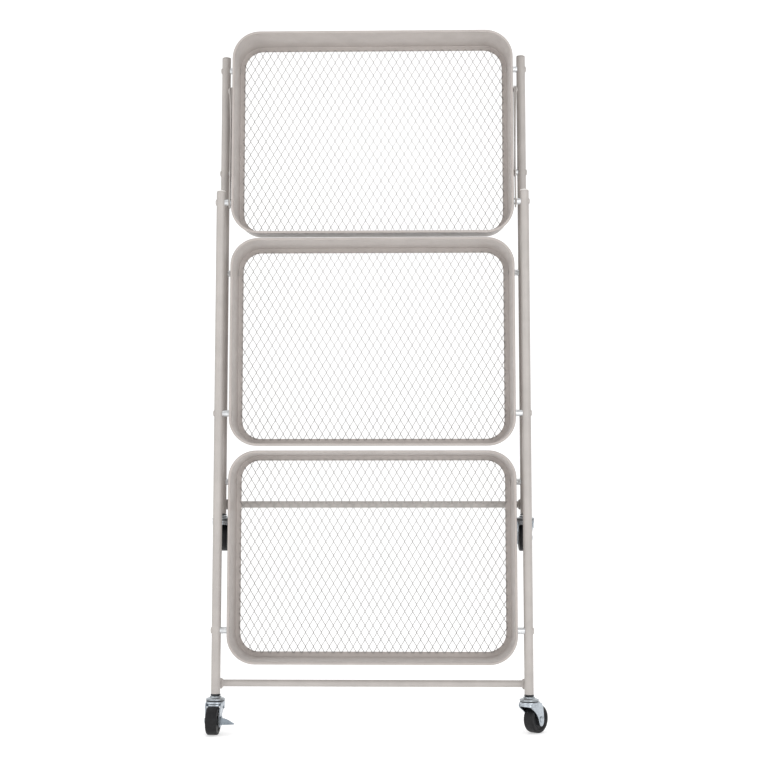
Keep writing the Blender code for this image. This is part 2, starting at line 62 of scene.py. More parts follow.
class Nodes:
    """A material's node tree with a few shortcuts."""

    def __init__(self, name):
        self.material = bpy.data.materials.new(name)
        self.material.use_nodes = True
        self.tree = self.material.node_tree
        self.shader = self.tree.nodes["Principled BSDF"]
        coordinates = self.tree.nodes.new("ShaderNodeTexCoord")
        self.place = coordinates.outputs["Object"]

    def noise(self, scale, detail=3.0, roughness=0.5, stretch=None):
        source = self.place
        if stretch:
            mapping = self.tree.nodes.new("ShaderNodeMapping")
            mapping.inputs["Scale"].default_value = stretch
            self.tree.links.new(source, mapping.inputs["Vector"])
            source = mapping.outputs["Vector"]
        node = self.tree.nodes.new("ShaderNodeTexNoise")
        node.inputs["Scale"].default_value = scale
        node.inputs["Detail"].default_value = detail
        node.inputs["Roughness"].default_value = roughness
        self.tree.links.new(source, node.inputs["Vector"])
        return node.outputs["Fac"]

    def ramp(self, source, stops):
        node = self.tree.nodes.new("ShaderNodeValToRGB")
        for index, (place, colour) in enumerate(stops):
            if index > 1:
                node.color_ramp.elements.new(place)
            node.color_ramp.elements[index].position = place
            node.color_ramp.elements[index].color = (*colour, 1.0)
        self.tree.links.new(source, node.inputs["Fac"])
        return node.outputs["Color"]

    def spread(self, source, low, high):
        node = self.tree.nodes.new("ShaderNodeMapRange")
        node.inputs["From Min"].default_value = 0.3
        node.inputs["From Max"].default_value = 0.7
        node.inputs["To Min"].default_value = low
        node.inputs["To Max"].default_value = high
        self.tree.links.new(source, node.inputs["Value"])
        return node.outputs["Result"]

    def bump(self, source, strength, distance, below=None):
        node = self.tree.nodes.new("ShaderNodeBump")
        node.inputs["Strength"].default_value = strength
        node.inputs["Distance"].default_value = distance
        self.tree.links.new(source, node.inputs["Height"])
        if below:
            self.tree.links.new(below, node.inputs["Normal"])
        return node.outputs["Normal"]

    def drive(self, socket, source):
        self.tree.links.new(source, self.shader.inputs[socket])

    def fix(self, **values):
        for socket, value in values.items():
            self.shader.inputs[socket.replace("_", " ")].default_value = value


def shades(colour, contrast):
    return [tuple(c * (1.0 + shift) for c in colour) for shift in (-contrast, contrast)]


def powder_coat(name, colour, contrast=0.05):
    """Satin powder paint: faint mottling and a fine orange-peel surface."""
    nodes = Nodes(name)
    dark, light = shades(colour, contrast)
    nodes.drive("Base Color", nodes.ramp(nodes.noise(45.0, 4.0), [(0.35, dark), (0.65, light)]))
    nodes.drive("Roughness", nodes.spread(nodes.noise(160.0, 2.0), 0.36, 0.48))
    peel = nodes.bump(nodes.noise(1400.0, 2.0), 0.16, 0.0002)
    nodes.drive("Normal", nodes.bump(nodes.noise(260.0, 2.0), 0.10, 0.0006, peel))
    nodes.fix(Metallic=0.0)
    return nodes.material


def zinc_plate(name, colour, roughness):
    """Bright zinc on pressed steel: soft blotches, fine drawing marks, small dents."""
    nodes = Nodes(name)
    dark, light = shades(colour, 0.10)
    nodes.drive("Base Color", nodes.ramp(nodes.noise(210.0, 5.0, 0.6), [(0.35, dark), (0.65, light)]))
    nodes.drive("Roughness", nodes.spread(nodes.noise(380.0, 4.0), roughness - 0.07, roughness + 0.10))
    marks = nodes.bump(nodes.noise(900.0, 3.0, 0.6, (1.0, 1.0, 0.15)), 0.12, 0.0001)
    nodes.drive("Normal", nodes.bump(nodes.noise(190.0, 2.0), 0.14, 0.0004, marks))
    nodes.fix(Metallic=1.0)
    return nodes.material


def moulded_plastic(name, colour, roughness):
    """Moulded plastic: slight sheen changes and a fine eroded texture."""
    nodes = Nodes(name)
    dark, light = shades(colour, 0.08)
    nodes.drive("Base Color", nodes.ramp(nodes.noise(120.0, 3.0), [(0.35, dark), (0.65, light)]))
    nodes.drive("Roughness", nodes.spread(nodes.noise(300.0, 3.0), roughness - 0.05, roughness + 0.07))
    nodes.drive("Normal", nodes.bump(nodes.noise(2200.0, 2.0), 0.12, 0.0001))
    nodes.fix(Metallic=0.0)
    return nodes.material


def wheel_rubber(name):
    """Hard black rubber with faint dust in its grain."""
    nodes = Nodes(name)
    stops = [(0.42, (0.005, 0.005, 0.006)), (0.75, (0.013, 0.013, 0.015))]
    nodes.drive("Base Color", nodes.ramp(nodes.noise(330.0, 6.0, 0.65), stops))
    nodes.drive("Roughness", nodes.spread(nodes.noise(240.0, 4.0), 0.40, 0.58))
    grain = nodes.bump(nodes.noise(1900.0, 3.0), 0.20, 0.0001)
    nodes.drive("Normal", nodes.bump(nodes.noise(420.0, 2.0), 0.08, 0.0004, grain))
    nodes.fix(Metallic=0.0, Specular_IOR_Level=0.28)
    return nodes.material


COAT = (0.425, 0.397, 0.376)
BAND_COAT = (0.425, 0.386, 0.363)
MATERIALS = {
    "coat": powder_coat("powder_coat_frame", COAT),
    "band": powder_coat("powder_coat_band", BAND_COAT, 0.045),
    "mesh": powder_coat("powder_coat_mesh", (0.36, 0.35, 0.34), 0.10),
    "zinc": zinc_plate("zinc_plate_fork", (0.45, 0.49, 0.53), 0.28),
    "cup": zinc_plate("zinc_plate_cup", (0.40, 0.43, 0.455), 0.30),
    "lever": zinc_plate("zinc_plate_lever", (0.29, 0.33, 0.37), 0.34),
    "spacer": zinc_plate("zinc_plate_spacer", (0.66, 0.67, 0.68), 0.30),
    "pale_cap": moulded_plastic("plastic_pale_cap", (0.78, 0.76, 0.73), 0.35),
    "coat_cap": moulded_plastic("plastic_grey_cap", (0.42, 0.39, 0.36), 0.42),
    # Black plastic for the leg sockets, also used as painted shade in the gap under each caster cup.
    "black": moulded_plastic("plastic_black_socket_and_gap_shade", (0.022, 0.023, 0.026), 0.38),
    "rubber": wheel_rubber("rubber_black_wheel"),
}


# ---------------------------------------------------------------- mesh tools

def to_object(name, bm, material, body, stands_for=(), smooth=35.0, bevel=None):
    """Make a piece from a bmesh built in place, and attach it to its body."""
    bmesh.ops.recalc_face_normals(bm, faces=bm.faces)
    mesh = bpy.data.meshes.new(name)
    bm.to_mesh(mesh)
    bm.free()
    mesh.shade_smooth()
    mesh.set_sharp_from_angle(angle=math.radians(smooth))
    obj = bpy.data.objects.new(name, mesh)
    bpy.context.collection.objects.link(obj)
    mesh.materials.append(MATERIALS[material])
    if bevel:
        modifier = obj.modifiers.new("rounded_edges", "BEVEL")
        modifier.width = bevel
        modifier.segments = 3
        modifier.limit_method = "ANGLE"
        modifier.angle_limit = math.radians(40.0)
        modifier.harden_normals = False
    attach(obj, body)
    if stands_for:
        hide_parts(*stands_for)
    return obj


def join_rows(bm, row, following):
    size = max(len(row), len(following))
    for i in range(size):
        j = (i + 1) % size
        corners = []
        for row_part, index in ((row, i), (row, j), (following, j), (following, i)):
            vert = row_part[index % len(row_part)]
            if vert not in corners:
                corners.append(vert)
        bm.faces.new(corners)


def skin(bm, loops, wrap=False):
    rows = [[bm.verts.new(point) for point in loop] for loop in loops]
    for row, following in zip(rows, rows[1:]):
        join_rows(bm, row, following)
    if wrap:
        join_rows(bm, rows[-1], rows[0])
        return
    for end in (rows[0], rows[-1]):
        if len(end) > 2:
            bm.faces.new(end)


def circle(radius, sides):
    if radius == 0.0:
        return [(0.0, 0.0)]
    step = 2.0 * math.pi / sides
    return [(radius * math.cos(i * step), radius * math.sin(i * step)) for i in range(sides)]


def lathe(bm, profile, place, axis="Z", sides=48, wrap=False):
    """Add a body of revolution; the profile lists (radius, distance along the axis)."""
    loops = []
    for radius, along in profile:
        points = circle(radius, sides)
        if axis == "Z":
            local = [Vector((u, v, along)) for u, v in points]
        else:
            local = [Vector((along, u, v)) for u, v in points]
        loops.append([place @ point for point in local])
    skin(bm, loops, wrap)


def arc(centre, radius, start, end, steps):
    """Points on an arc, angles in degrees from the first coordinate to the second."""
    points = []
    for step in range(steps + 1):
        angle = math.radians(start + (end - start) * step / steps)
        points.append((centre[0] + radius * math.cos(angle), centre[1] + radius * math.sin(angle)))
    return points


def plate(bm, outline, low, high, place):
    """Add a flat plate: an outline in Y and Z, thick along X."""
    skin(bm, [[place @ Vector((level, u, v)) for u, v in outline] for level in (low, high)])


# ---------------------------------------------------------------- frames

def leg(name, body):
    """Round tube with softly broken ends."""
    low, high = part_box(name)
    radius = (high.x - low.x) / 2.0
    bore = radius - 0.0010
    edge = 0.0003
    place = Matrix.Translation(((low.x + high.x) / 2.0, (low.y + high.y) / 2.0, 0.0))
    profile = [
        (bore, low.z),
        (radius - edge, low.z),
        (radius, low.z + edge),
        (radius, high.z - edge),
        (radius - edge, high.z),
        (bore, high.z),
    ]
    bm = bmesh.new()
    lathe(bm, profile, place, wrap=True)
    to_object(name + "_tube", bm, "coat", body, [name])


def leg_cap(name, body, material):
    """Push-in end plug with a domed head and a plain shank hidden in the tube."""
    low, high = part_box(name)
    radius = (high.x - low.x) / 2.0
    place = Matrix.Translation(((low.x + high.x) / 2.0, (low.y + high.y) / 2.0, 0.0))
    base = high.z - 0.0022
    plug = radius - 0.0013
    dome = [(radius * math.cos(a), base + 0.0006 + 0.0016 * math.sin(a))
            for a in (math.radians(9.0 * i) for i in range(1, 10))]
    profile = [(0.0, low.z), (plug * 0.9, low.z), (plug, low.z + 0.001), (plug, base)]
    profile += [(radius - 0.0003, base), (radius, base + 0.0004)] + dome + [(0.0, high.z)]
    bm = bmesh.new()
    lathe(bm, profile, place)
    to_object(name + "_plug", bm, material, body, [name])


def stem_socket(name, body):
    """Black plug in the foot of a leg, with a rolled collar under the tube."""
    low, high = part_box(name)
    radius = (high.x - low.x) / 2.0
    place = Matrix.Translation(((low.x + high.x) / 2.0, (low.y + high.y) / 2.0, 0.0))
    collar_top = low.z + 0.0019
    bore = 0.0033
    profile = [
        (bore, low.z),
        (radius - 0.0011, low.z),
        (radius - 0.0003, low.z + 0.0004),
        (radius, low.z + 0.0010),
        (radius, collar_top - 0.0005),
        (radius - 0.0004, collar_top),
        (0.0050, collar_top),
        (0.0050, high.z - 0.001),
        (0.0046, high.z),
        (bore, high.z),
    ]
    bm = bmesh.new()
    lathe(bm, profile, place, wrap=True)
    to_object(name + "_collar", bm, "black", body, [name])


def crossbar_loop(x, half_height, front, thickness, flatness, centre_z):
    """Slice of the bar: round in the middle, pressed to a flat strip at its ends."""
    middle = front + thickness / 2.0
    power = 1.0 - 0.62 * flatness
    loop = []
    for u, v in circle(1.0, 32):
        depth = math.copysign(abs(u) ** power, u) * thickness / 2.0
        loop.append(Vector((x, middle + depth, centre_z + v * half_height)))
    return loop


def crossbar(name, body):
    low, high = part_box(name)
    radius = (high.y - low.y) / 2.0
    centre_z = (low.z + high.z) / 2.0
    tab = (high.z - low.z) / 2.0
    end = high.x
    pressed = 0.0022
    full_flat = end - 0.0130
    still_round = end - 0.0146
    steps = [(end, tab * 0.55, pressed * 0.8, 1.0), (end - 0.0006, tab * 0.78, pressed, 1.0),
             (end - 0.002, tab * 0.95, pressed, 1.0), (end - 0.004, tab, pressed, 1.0),
             (full_flat, tab, pressed, 1.0)]
    for index in range(1, 8):
        share = index / 8.0
        ease = share * share * (3.0 - 2.0 * share)
        steps.append((
            full_flat + (still_round - full_flat) * share,
            tab + (radius - tab) * ease,
            pressed + (2.0 * radius - pressed) * ease,
            1.0 - ease,
        ))
    steps.append((still_round, radius, 2.0 * radius, 0.0))
    middle = [(-still_round + 2.0 * still_round * i / 8.0, radius, 2.0 * radius, 0.0) for i in range(1, 8)]
    stations = [(-x, h, t, f) for x, h, t, f in steps] + middle + list(reversed(steps))
    bm = bmesh.new()
    skin(bm, [crossbar_loop(x, h, low.y, t, f, centre_z) for x, h, t, f in stations])
    to_object(name + "_bar", bm, "coat", body, [name])


# ---------------------------------------------------------------- baskets

CORNER_RADIUS = 0.039           # at the rim's outer edge
RIM_ROLL = 0.0036
SHEET = 0.0010
WALL_TOP_INSET = 0.0013
WALL_FLOOR_INSET = 0.0045
FLANGE_INSET = 0.0123


class Basket:
    """Where a basket's band lies, and its rounded outline at any inset and depth."""

    def __init__(self, tier):
        self.tier = tier
        self.body = tier + "_basket"
        low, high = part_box(tier + "_basket_band")
        self.half_width = (high.x - low.x) / 2.0
        self.half_height = (high.z - low.z) / 2.0
        self.centre_z = (high.z + low.z) / 2.0
        self.front = low.y
        self.depth = high.y - low.y

    def outline(self, inset, depth, steps=14):
        radius = CORNER_RADIUS - inset
        reach_x = self.half_width - CORNER_RADIUS
        reach_z = self.half_height - CORNER_RADIUS
        points = []
        for quarter, (sx, sz) in enumerate(((1, 1), (-1, 1), (-1, -1), (1, -1))):
            for step in range(steps + 1):
                angle = math.radians(90.0 * (quarter + step / steps))
                points.append(Vector((
                    sx * reach_x + radius * math.cos(angle),
                    self.front + depth,
                    self.centre_z + sz * reach_z + radius * math.sin(angle),
                )))
        return points


def band(basket):
    """Side wall: rolled rim, tapered sheet with a soft step, floor flange."""
    roll = RIM_ROLL / 2.0
    floor = basket.depth
    slope = (WALL_FLOOR_INSET - WALL_TOP_INSET) / (floor - RIM_ROLL)
    outer, inner = [], []
    for share in (0.10, 0.15, 0.5, 0.85, 0.90):
        depth = RIM_ROLL + share * (floor - RIM_ROLL)
        inset = WALL_TOP_INSET + slope * (depth - RIM_ROLL)
        step = 0.00025 if 0.12 < share < 0.88 else 0.0
        outer.append((inset + step, depth))
        inner.append((inset + SHEET + step, depth))
    bend = SHEET * 1.8
    corner = (WALL_FLOOR_INSET + bend, floor - bend)
    loop = [(WALL_TOP_INSET, RIM_ROLL + GAP)] + outer
    loop += arc(corner, bend, 180.0, 90.0, 5)
    loop += [(FLANGE_INSET, floor), (FLANGE_INSET, floor - SHEET)]
    loop += arc(corner, bend - SHEET, 90.0, 180.0, 4) + list(reversed(inner))
    loop += [(WALL_TOP_INSET + SHEET, RIM_ROLL + GAP)]
    loop += arc((roll, roll), roll, 62.0, -242.0, 18)
    bm = bmesh.new()
    skin(bm, [basket.outline(inset, depth) for inset, depth in loop], wrap=True)
    node = basket.tier + "_basket_band"
    to_object(node + "_shell", bm, "band", basket.body, [node], smooth=50.0)


# Expanded metal: strands join in short knots, leaving diamond holes
CELL_WIDTH = 0.0112
CELL_HEIGHT = 0.0196
KNOT_HALF_WIDTH = 0.00058
KNOT_SHOULDER = 0.00055
KNOT_TIP = 0.00118
STRAND_THICKNESS = 0.0008
STRAND_TILT = 0.00025
MESH_EDGE_INSET = 0.0106


def expanded_sheet(half_width, half_height):
    """Flat diamond lattice in X and Z around the origin, as a bmesh."""
    bm = bmesh.new()
    corners = {
        "tip": (0.0, KNOT_TIP, -STRAND_TILT),
        "right_up": (KNOT_HALF_WIDTH, KNOT_SHOULDER, -STRAND_TILT * 0.5),
        "right_down": (KNOT_HALF_WIDTH, -KNOT_SHOULDER, STRAND_TILT * 0.5),
        "foot": (0.0, -KNOT_TIP, STRAND_TILT),
        "left_down": (-KNOT_HALF_WIDTH, -KNOT_SHOULDER, STRAND_TILT * 0.5),
        "left_up": (-KNOT_HALF_WIDTH, KNOT_SHOULDER, -STRAND_TILT * 0.5),
    }
    columns = int(2.0 * half_width / CELL_WIDTH) + 2
    rows = int(2.0 * half_height / CELL_HEIGHT) + 2
    knots = {}
    for i in range(-columns, columns + 1):
        for k in range(-rows, rows + 1):
            x, z = i * CELL_WIDTH / 2.0, k * CELL_HEIGHT / 2.0
            outside = abs(x) > half_width + CELL_WIDTH or abs(z) > half_height + CELL_HEIGHT
            if (i + k) % 2 or outside:
                continue
            knots[i, k] = {
                label: bm.verts.new((x + dx, dy, z + dz)) for label, (dx, dz, dy) in corners.items()
            }
    for (i, k), knot in knots.items():
        bm.faces.new([knot[label] for label in corners])
        for step, near, far in ((1, ("tip", "right_up"), ("foot", "left_down")),
                                (-1, ("left_up", "tip"), ("right_down", "foot"))):
            other = knots.get((i + step, k + 1))
            if other:
                bm.faces.new([knot[near[0]], knot[near[1]], other[far[0]], other[far[1]]])
    return bm


def trim_to(bm, outline):
    """Cut a flat sheet along a convex outline in X and Z."""
    centre = sum(outline, Vector()) / len(outline)
    for start, end in zip(outline, outline[1:] + outline[:1]):
        run = end - start
        if run.length < 1e-6:
            continue
        normal = Vector((run.z, 0.0, -run.x)).normalized()
        if normal.dot(start - centre) < 0.0:
            normal = -normal
        everything = bm.verts[:] + bm.edges[:] + bm.faces[:]
        bmesh.ops.bisect_plane(bm, geom=everything, dist=1e-7, plane_co=start,
                               plane_no=normal, clear_outer=True)


def mesh_floor(basket):
    """Expanded-metal floor lying on the flange."""
    bm = expanded_sheet(basket.half_width, basket.half_height)
    back = basket.front + basket.depth - SHEET - STRAND_TILT - STRAND_THICKNESS / 2.0
    shift = Vector((0.0, back, basket.centre_z))
    for vert in bm.verts:
        vert.co += shift
    trim_to(bm, [Vector((p.x, back, p.z)) for p in basket.outline(MESH_EDGE_INSET, 0.0, steps=8)])
    obj = to_object(basket.tier + "_basket_mesh", bm, "mesh", basket.body,
                    [basket.tier + "_basket_floor"], smooth=20.0)
    solid = obj.modifiers.new("strand_thickness", "SOLIDIFY")
    solid.thickness = STRAND_THICKNESS
    solid.offset = 0.0


# ---------------------------------------------------------------- pivots

LEG_RADIUS = 0.00635
HEAD_RADIUS = 0.0043
HEAD_HEIGHT = 0.0012
INNER_HEAD_RADIUS = 0.0040
INNER_HEAD_HEIGHT = 0.0014
SHANK_RADIUS = 0.0024
SPACER_RADIUS = 0.0046
SEATING = 0.0018                # rivet heads are pressed this far into the round tube
SPACER_SEATING = 0.0014         # spacers and washers are shaped to it this far
LEG_X = (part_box("front_leg_right")[0].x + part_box("front_leg_right")[1].x) / 2.0


def rivet_dome(radius, height, seat):
    """Profile of a snap head from its crown to its seat."""
    rounds = [(radius * math.sin(a), seat + height * math.cos(a))
              for a in (math.radians(9.0 * i) for i in range(1, 10))]
    return [(0.0, seat + height)] + rounds + [(radius, seat)]


def pivot(name, body, side):
    """Painted rivet through leg and basket; distances run outwards from the leg's centre."""
    low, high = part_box(name)
    place = Matrix.Translation((side * LEG_X, (low.y + high.y) / 2.0, (low.z + high.z) / 2.0))
    place = place @ Matrix.Scale(side, 4, (1.0, 0.0, 0.0))
    tip = min(abs(low.x), abs(high.x)) - LEG_X
    seat = tip + INNER_HEAD_HEIGHT
    dent = LEG_RADIUS - SEATING
    head = rivet_dome(HEAD_RADIUS, HEAD_HEIGHT, LEG_RADIUS + GAP) + [(HEAD_RADIUS, dent)]
    tail = [(r, seat - x) for r, x in rivet_dome(INNER_HEAD_RADIUS, INNER_HEAD_HEIGHT, 0.0)]
    profile = head + [(SHANK_RADIUS, dent), (SHANK_RADIUS, seat)]
    bm = bmesh.new()
    lathe(bm, profile + list(reversed(tail)), place, axis="X", sides=32)
    to_object(name + "_rivet", bm, "coat", body, [name])
    return place, -seat


def spacer(name, body, place, start, end, radius=SPACER_RADIUS):
    """Spacer tube or washer between two distances from the leg's centre line."""
    bore = SHANK_RADIUS + 0.0001
    soft = min(0.0005, (end - start) * 0.3)
    profile = [(bore, -start), (radius - soft, -start), (radius, -start - soft),
               (radius, -end + soft), (radius - soft, -end), (bore, -end)]
    bm = bmesh.new()
    lathe(bm, profile, place, axis="X", sides=40, wrap=True)
    to_object(name, bm, "spacer", body)


# ---------------------------------------------------------------- braces

def strap(name, body):
    """Brace link: a flat strap with round ends, read from its solid and its pivots."""
    low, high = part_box(name)
    upper = "upper" in name
    side_name = "left" if name.endswith("left") else "right"
    hinge = joint_point("brace_{}_fold_{}".format("upper" if upper else "lower", side_name))
    half_width = 0.0058
    y_far = low.y + half_width if abs(low.y + half_width - hinge.y) > 0.004 else high.y - half_width
    far = (y_far, high.z - half_width)
    near = (hinge.y, hinge.z)
    heading = math.degrees(math.atan2(far[1] - near[1], far[0] - near[0]))
    overhang = 0.0030 if upper else 0.0
    turn = math.radians(heading)
    tongue = (near[0] - overhang * math.cos(turn), near[1] - overhang * math.sin(turn))
    outline = arc(far, half_width, heading - 90.0, heading + 90.0, 16)
    outline += arc(tongue, half_width, heading + 90.0, heading + 270.0, 16)
    bm = bmesh.new()
    plate(bm, outline, low.x, high.x, Matrix.Identity(4))
    to_object(name + "_strap", bm, "coat", body, [name], bevel=0.0003)
    return far


def knee(side_name, centre):
    """Knee rivet: outer head on the lower link, inner head on the upper link."""
    side = SIDES[side_name]
    node = "brace_knee_rivet_" + side_name
    low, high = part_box(node)
    outer = max(abs(low.x), abs(high.x))
    seat = outer - 0.0016
    place = Matrix.Translation((0.0, centre[0], centre[1])) @ Matrix.Scale(side, 4, (1.0, 0.0, 0.0))
    shank_end = min(abs(low.x), abs(high.x))
    bm = bmesh.new()
    profile = rivet_dome(INNER_HEAD_RADIUS, outer - seat, seat)
    profile += [(SHANK_RADIUS, seat), (SHANK_RADIUS, shank_end), (0.0, shank_end)]
    lathe(bm, profile, place, "X", 28)
    to_object(node + "_head", bm, "coat", "brace_lower_" + side_name, [node])
    link_low, link_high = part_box("brace_upper_link_" + side_name)
    face = min(abs(link_low.x), abs(link_high.x))
    inner = [(r, face - x) for r, x in rivet_dome(INNER_HEAD_RADIUS * 0.9, 0.0010, 0.0)]
    bm = bmesh.new()
    lathe(bm, inner + [(0.0, face)], place, "X", 28)
    to_object("brace_knee_inner_head_" + side_name, bm, "coat", "brace_upper_" + side_name)


# ---------------------------------------------------------------- casters

WHEEL_RADIUS = 0.01895
WHEEL_HALF = 0.00785
FORK_INNER = 0.0089
FORK_SHEET = 0.0016
FORK_TOP = 0.0435
DISC_RADIUS = 0.0133
AXLE_RADIUS = 0.0025
AXLE_HEAD_RADIUS = 0.0042


class Caster:
    """Frames of one caster, read from its swivel and roll joints."""

    def __init__(self, corner):
        self.corner = corner
        self.swivel = joint_point("swivel_" + corner)
        self.hub = joint_point("roll_" + corner)
        trail = self.hub - self.swivel
        turn = math.atan2(-trail.x, trail.y)
        base = Vector((self.swivel.x, self.swivel.y, self.swivel.z - FORK_TOP))
        self.stand = Matrix.Translation(base) @ Matrix.Rotation(turn, 4, "Z")
        self.wheel = Matrix.Translation(self.hub) @ Matrix.Rotation(turn, 4, "Z")
        self.fixed_body = "front_frame" if corner.startswith("front") else "rear_frame"
        self.braked = "brake_" + corner in JOINTS


def caster_head(caster):
    """Fixed raceway cup with the riveted kingpin, and a black ring under it: painted shade filling the
    shadowed gap above the fork crown.
    """
    node = "caster_head_" + caster.corner
    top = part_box(node)[1].z - caster.stand.translation.z
    cup = [
        (0.0030, 0.0449),
        (DISC_RADIUS - 0.0010, 0.0449),
        (DISC_RADIUS - 0.0003, 0.0450),
        (DISC_RADIUS, 0.0454),
        (DISC_RADIUS, 0.0461),
        (DISC_RADIUS - 0.0004, 0.0468),
        (DISC_RADIUS - 0.0014, 0.0473),
        (0.0106, 0.0477),
        (0.0090, 0.0481),
        (0.0083, 0.0486),
        (0.0080, 0.0493),
        (0.0077, 0.0500),
        (0.0070, 0.0504),
        (0.0030, 0.0504),
        (0.0030, top - 0.0008),
        (0.0022, top),
        (0.0, top),
    ]
    pin = FORK_TOP - FORK_SHEET
    kingpin = [
        (0.0, pin - 0.0026),
        (0.0040, pin - 0.0024),
        (0.0056, pin - 0.0016),
        (0.0060, pin - 0.0008),
        (0.0060, pin - GAP),
        (0.0030, pin - GAP),
    ]
    bm = bmesh.new()
    lathe(bm, kingpin + cup, caster.stand)
    to_object(node + "_cup", bm, "cup", caster.fixed_body, [node])
    # Painted shade: a black ring fills the shadowed gap between the cup and the fork crown.
    gap_shade_radius = DISC_RADIUS - 0.0006
    ring = [(0.0040, 0.0437), (gap_shade_radius, 0.0437), (gap_shade_radius, 0.0448), (0.0040, 0.0448)]
    bm = bmesh.new()
    lathe(bm, ring, caster.stand, wrap=True)
    to_object("caster_gap_shade_" + caster.corner, bm, "black", caster.fixed_body)


# Fork crown: (scale of its plan shape, height)
CROWN_PROFILE = [
    (0.25, 0.0419), (0.86, 0.0419), (0.88, 0.0400), (0.86, 0.0388), (0.86, 0.0376),
    (0.955, 0.0376), (0.965, 0.0388), (0.95, 0.0397), (0.975, 0.0401), (1.0, 0.0408),
    (1.0, 0.0424), (0.985, 0.0431), (0.95, 0.0435), (0.25, 0.0435),
]
CROWN_LEAD = 0.0130
CROWN_TRAIL = 0.0160
SKIRT_DROP = 0.0048             # of the skirt where it runs into the cheeks
# Fork cheek: height, leading edge, trailing edge, outer face
CHEEK_ROWS = [
    (0.0420, -0.0072, 0.0120, 0.0120), (0.0400, -0.0080, 0.0140, 0.0119),
    (0.0375, -0.0086, 0.0160, 0.0117), (0.0350, -0.0072, 0.0174, 0.0114),
    (0.0325, -0.0038, 0.0183, 0.0110), (0.0300, -0.0002, 0.0190, 0.0107),
    (0.0265, 0.0036, 0.0195, 0.0105), (0.0220, 0.0066, 0.0199, 0.0105),
    (0.0180, 0.0084, 0.0202, 0.0105), (0.0150, 0.0093, 0.0198, 0.0105),
    (0.0125, 0.0101, 0.0188, 0.0105), (0.0110, 0.0110, 0.0175, 0.0105),
    (0.0101, 0.0121, 0.0163, 0.0105), (0.0098, 0.0133, 0.0151, 0.0105),
]


def crown_loop(caster, scale, height):
    loop = []
    for step in range(56):
        angle = 2.0 * math.pi * step / 56
        u, v = math.cos(angle), math.sin(angle)
        if v > 0.0:
            x = CROWN_LEAD * math.copysign(abs(u) ** 0.75, u)
            y = CROWN_TRAIL * v ** 0.9
        else:
            x, y = CROWN_LEAD * u, CROWN_LEAD * v
        drop = SKIRT_DROP * abs(u) ** 5 if height < 0.0380 and v < 0.0 else 0.0
        loop.append(caster.stand @ Vector((scale * x, scale * y, height - drop)))
    return loop


def cheek(bm, caster, side, columns=9):
    """One side of the fork: flared out to the crown, with a rib along its leading edge."""
    rows = []
    for height, lead, trail, face in CHEEK_ROWS:
        row = []
        for column in range(columns):
            share = column / (columns - 1)
            rib = 0.0005 * math.exp(-((share - 0.10) / 0.10) ** 2)
            row.append((face - 0.0003 + rib, lead + share * (trail - lead), height))
        rows.append(row)
    loops = []
    for row in rows:
        outer = [Vector((side * x, y, z)) for x, y, z in row]
        inner = [Vector((side * (x - FORK_SHEET), y, z)) for x, y, z in reversed(row)]
        loops.append([caster.stand @ point for point in outer + inner])
    skin(bm, loops)


def caster_fork(caster):
    """Pressed fork: crown with a hanging skirt, and two cheeks down to the axle."""
    node = "caster_fork_" + caster.corner
    bm = bmesh.new()
    skin(bm, [crown_loop(caster, scale, height) for scale, height in CROWN_PROFILE], wrap=True)
    for side in SIDES.values():
        cheek(bm, caster, side)
    to_object(node + "_pressing", bm, "zinc", "caster_" + caster.corner, [node], smooth=40.0)


def caster_wheel(caster):
    """Solid wheel: crowned tread, recessed web, raised hub and a bore."""
    half, outer = WHEEL_HALF, WHEEL_RADIUS
    web = half - 0.0016
    right = [
        (0.0028, half - 0.0002),
        (0.0058, half - 0.0002),
        (0.0063, half - 0.0006),
        (0.0068, web),
        (0.0132, web),
        (0.0140, half - 0.0006),
        (0.0146, half - 0.0001),
    ]
    soft = 0.0024
    right += [(r, x) for x, r in arc((half - soft, outer - soft), soft, 0.0, 80.0, 8)]
    right += [(outer, half - soft)]
    profile = right + [(radius, -x) for radius, x in reversed(right)]
    bm = bmesh.new()
    lathe(bm, profile, caster.wheel, axis="X", sides=72, wrap=True)
    node = "caster_wheel_" + caster.corner
    to_object(node + "_tyre", bm, "rubber", "wheel_" + caster.corner, [node])


def caster_axle(caster):
    """Axle bolt with a rounded head and a peened end, longer where a lever sits on it."""
    node = "caster_axle_" + caster.corner
    seat = FORK_INNER + FORK_SHEET + GAP
    far = seat + (0.0018 if caster.braked else 0.0)
    head = rivet_dome(AXLE_HEAD_RADIUS, 0.0013, seat)
    tail = [(r * 0.95, -x) for r, x in reversed(rivet_dome(AXLE_HEAD_RADIUS, 0.0012, far))]
    bm = bmesh.new()
    lathe(bm, head + [(AXLE_RADIUS, seat), (AXLE_RADIUS, -far)] + tail, caster.wheel, "X", 32)
    to_object(node + "_bolt", bm, "zinc", "caster_" + caster.corner, [node])


# Brake pedal: distance outwards from the boss, then its upper and lower edge, each as
# distance along the trail and height, from the axle
PEDAL_SECTIONS = [
    (-0.0010, (0.0050, 0.0039), (0.0078, -0.0044)),
    (0.0015, (0.0049, 0.0041), (0.0080, -0.0045)),
    (0.0040, (0.0050, 0.0040), (0.0081, -0.0045)),
    (0.0070, (0.0052, 0.0032), (0.0081, -0.0044)),
    (0.0100, (0.0055, 0.0019), (0.0081, -0.0043)),
    (0.0130, (0.0059, 0.0003), (0.0081, -0.0042)),
    (0.0160, (0.0066, -0.0013), (0.0080, -0.0040)),
    (0.0180, (0.0072, -0.0025), (0.0079, -0.0037)),
    (0.0189, (0.0075, -0.0030), (0.0077, -0.0034)),
]


